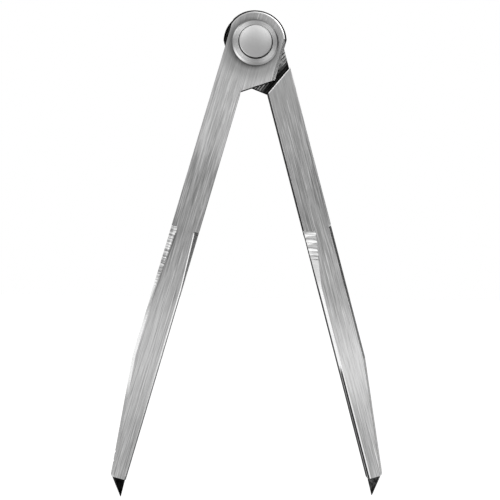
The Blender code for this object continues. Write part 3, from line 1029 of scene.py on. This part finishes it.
def hard_metal(leg):
    """Near-black hard metal, ground towards the tip, mottled and darkest at the tip."""
    material, graph, shader, position = start_material(leg + "_hard_metal")
    grind = graph.noise(graph.scaled(position, POINT_GRAIN), detail=2.0)
    patches = graph.noise(graph.scaled(position, POINT_PATCHES), detail=3.0)
    shade = graph.times(graph.vary(grind, GRIND_SPREAD), POINT_TONE_AND_SHADE[leg])
    shade = graph.times(shade, graph.remap(patches, *POINT_MOTTLE))
    shade = graph.times(shade, graph.remap(graph.split(position)[2], *POINT_TIP))
    graph.link(graph.grey(shade), shader.inputs["Base Color"])
    rough = graph.math("MULTIPLY_ADD", grind, POINT_ROUGHER, POINT_ROUGHNESS)
    graph.link(rough, shader.inputs["Roughness"])
    graph.bump(shader, grind, *POINT_BUMP)
    return material


def ring_noise(graph, radius, depth):
    """Noise that changes with the radius and the depth only, so it makes rings."""
    place = graph.node("ShaderNodeCombineXYZ")
    graph.link(graph.times(radius, RING_CYCLES), place.inputs["X"])
    graph.link(graph.times(depth, RING_CYCLES_DEEP), place.inputs["Y"])
    return graph.noise(place.outputs[0], detail=3.0)


def turned_metal(name, base, roughness, anisotropy, spread=0.12, painted_sheen=0.0, lean=0.0):
    """Lathe-turned metal: rings about the pivot axis, painted sheen in sectors, and painted light that may
    lean across by so much per mm.
    """
    material, graph, shader, position = start_material(name)
    x, y, z = graph.split(position)
    rings = ring_noise(graph, graph.length(x, z), y)
    patches = graph.noise(graph.scaled(position, TURNED_PATCHES), detail=3.0)
    tone = graph.math("MULTIPLY_ADD", rings, spread, -spread / 2)
    tone = graph.math("ADD", tone, graph.vary(patches, PATCH_SPREAD))
    # Painted sheen: lighter and darker sectors round the pivot axis
    fan = graph.math("COSINE", graph.times(graph.math("ARCTAN2", z, x), PAINTED_SHEEN_SECTORS))
    tone = graph.math("MULTIPLY_ADD", fan, -painted_sheen, tone)
    # Painted light: lighter on one side, by the lean per mm of x
    tone = graph.times(tone, graph.math("MULTIPLY_ADD", x, lean, 1.0))
    colour = graph.node("ShaderNodeMix", data_type="RGBA", blend_type="MULTIPLY")
    colour.inputs["Factor"].default_value = 1.0
    colour.inputs["A"].default_value = (*base, 1.0)
    graph.link(graph.grey(tone), colour.inputs["B"])
    graph.link(colour.outputs["Result"], shader.inputs["Base Color"])
    rough = graph.math("MULTIPLY_ADD", rings, RING_ROUGHNESS, roughness - RING_ROUGHNESS / 2)
    graph.link(rough, shader.inputs["Roughness"])
    shader.inputs["Anisotropic"].default_value = anisotropy
    tangent = graph.node("ShaderNodeTangent", direction_type="RADIAL", axis="Y")
    graph.link(tangent.outputs[0], shader.inputs["Tangent"])
    graph.bump(shader, rings, *TURNED_BUMP)
    return material


# ---------------------------------------------------------------- pieces


def finish_piece(name, mesh, material, body, node, place=ROW_FRAME, sharp_from=SHARP_ANGLE):
    """Put a finished piece on its body, in place of its CAD node."""
    mesh.materials.clear()
    mesh.materials.append(material)
    mesh.shade_smooth()
    mesh.set_sharp_from_angle(angle=sharp_from)
    piece = linked(name, mesh)
    piece.matrix_world = place
    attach(piece, body)
    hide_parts(node)


def build_legs():
    for leg in ("front", "rear"):
        bar = leg + "_leg"
        point = leg + "_point"
        body = leg + "_leg_body"
        place = leg_frame(leg)
        shape = leg_mesh(leg)
        finish_piece(bar + "_ground", shape, leg_steel(leg), body, bar, place, LEG_SHARP_ANGLE)
        tip = edges_broken(point, cad_copy(point, place), TIP_BREAK, sharp)
        finish_piece(point + "_ground", tip, hard_metal(leg), body, point, place)


def build_head():
    # The leans paint light on the head, the collar and the turned steel: lighter towards -x
    satin = turned_metal("head_satin", STEEL_GREY, roughness=0.36, anisotropy=0.0, spread=0.03, lean=-0.036)
    turned_steel = turned_metal(
        "turned_steel", STEEL_GREY, roughness=0.3, anisotropy=0.8, painted_sheen=0.25, lean=-0.016
    )
    spring = turned_metal("spring_blue_grey", SPRING_GREY, roughness=0.35, anisotropy=0.5)
    bronze = turned_metal("bronze_disc", BRONZE, roughness=0.4, anisotropy=0.3)
    root = "front_leg_body"
    finish_piece("pivot_bolt_domed", bolt_mesh(), satin, root, "pivot_bolt")
    finish_piece("head_collar_turned", collar_mesh(), turned_steel, root, "head_collar")

    # Pieces that keep their CAD shape: (node, finish, width of its broken edges in mm, metal, body, slot)
    softened_pieces = (
        ("thrust_washer", "turned", 0.1, turned_steel, root, "head_steel"),
        ("pin_nut", "turned", 0.15, turned_steel, "nut_body", "head_steel"),
        ("disc_spring", "tempered", 0.08, spring, "spring_body", "spring_steel"),
        ("friction_disc", "rolled", 0.05, bronze, root, "bronze"),
    )
    for node, finish, break_width, metal, body, slot in softened_pieces:
        finish_piece(f"{node}_{finish}", softened(node, break_width), metal, body, node)


# ---------------------------------------------------------------- stage


def window(graph, value, middle, half):
    """1 within half of the middle, falling to 0 over a soft margin. Angles in degrees."""
    off = graph.away_from(value, math.radians(middle))
    full = math.radians(half - PANEL_SOFTNESS)
    return graph.remap(off, full, math.radians(half + PANEL_SOFTNESS), 1.0, 0.0)


def studio(graph, direction):
    """The brightness that the steel sees in a direction: panels in a grey room, dark straight behind."""
    x, y, z = graph.split(direction)
    turn = graph.math("ARCTAN2", x, graph.times(y, -1.0))
    height = graph.math("ARCSINE", z)
    light = graph.math("ADD", graph.remap(z, *LOW_LIGHT), graph.remap(z, *ROOM_LIGHT))
    for middle, half, up, half_up, strength in STUDIO_PANELS:
        panel = graph.times(window(graph, turn, middle, half), window(graph, height, up, half_up))
        light = graph.math("MULTIPLY_ADD", panel, strength, light)
    light = graph.times(light, graph.remap(y, *BEHIND_SHADE), graph.remap(z, *OVERHEAD_SHADE))
    return graph.math("MAXIMUM", light, LEAST_LIGHT)


def make_world():
    """White to the camera. What the steel reflects is a soft studio, dark straight behind the object."""
    world = bpy.data.worlds.new("studio")
    bpy.context.scene.world = world
    world.use_nodes = True
    graph = Graph(world.node_tree)
    background = world.node_tree.nodes["Background"]
    light = studio(graph, graph.node("ShaderNodeTexCoord").outputs["Generated"])
    to_camera = graph.node("ShaderNodeLightPath").outputs["Is Camera Ray"]
    graph.link(graph.mix(to_camera, light, 1.0), background.inputs["Strength"])
    background.inputs["Color"].default_value = (1, 1, 1, 1)


def make_floor():
    """A white floor under the points. Only the camera sees it: the world stands in for its reflection."""
    bm = bmesh.new()
    bmesh.ops.create_grid(bm, x_segments=1, y_segments=1, size=FLOOR_SIZE)
    floor = linked("floor", finished(bm, "floor"))
    floor.location.z = cad_box[0][2] - FLOOR_GAP
    floor.data.materials.append(floor_material())


def floor_material():
    """A diffuse glow to the camera and nothing to other rays."""
    material = bpy.data.materials.new("white_floor")
    material.use_nodes = True
    graph = Graph(material.node_tree)
    nodes = material.node_tree.nodes
    nodes.remove(nodes["Principled BSDF"])
    glow = graph.node("ShaderNodeEmission")
    glow.inputs["Strength"].default_value = FLOOR_GLOW
    diffuse = graph.node("ShaderNodeBsdfDiffuse")
    diffuse.inputs["Color"].default_value = FLOOR_GREY
    seen = graph.node("ShaderNodeAddShader")
    graph.link(glow.outputs[0], seen.inputs[0])
    graph.link(diffuse.outputs[0], seen.inputs[1])
    mix = graph.node("ShaderNodeMixShader")
    graph.link(graph.node("ShaderNodeLightPath").outputs["Is Camera Ray"], mix.inputs[0])
    graph.link(graph.node("ShaderNodeBsdfTransparent").outputs[0], mix.inputs[1])
    graph.link(seen.outputs[0], mix.inputs[2])
    graph.link(mix.outputs[0], nodes["Material Output"].inputs["Surface"])
    return material


def soft_light(name, place, target, width, height, power):
    """A softbox at a place, turned to its target."""
    data = bpy.data.lights.new(name, "AREA")
    data.shape = "RECTANGLE"
    data.size = width
    data.size_y = height
    data.energy = power
    light = linked(name, data)
    light.location = place
    light.rotation_euler = (Vector(target) - Vector(place)).to_track_quat("-Z", "Z").to_euler()


def make_camera():
    to_view = (
        Matrix.Translation((CAMERA_ACROSS, CAMERA_DISTANCE, CAMERA_DROP))
        @ Matrix.Rotation(CAMERA_ROLL, 4, "Y")
        @ Matrix.Rotation(CAMERA_PITCH, 4, "X")
        @ Matrix.Rotation(CAMERA_YAW, 4, "Z")
    )
    data = bpy.data.cameras.new("camera")
    data.lens = CAMERA_LENS
    data.sensor_width = SENSOR_WIDTH
    data.clip_start = CLIP_START
    camera = linked("camera", data)
    camera.matrix_world = to_view.inverted() @ Matrix.Rotation(math.radians(90), 4, "X")
    bpy.context.scene.camera = camera


build_legs()
build_head()
make_world()
make_floor()
for softbox in SOFTBOXES:
    soft_light(*softbox)
make_camera()
bpy.context.scene.view_settings.view_transform = "Standard"
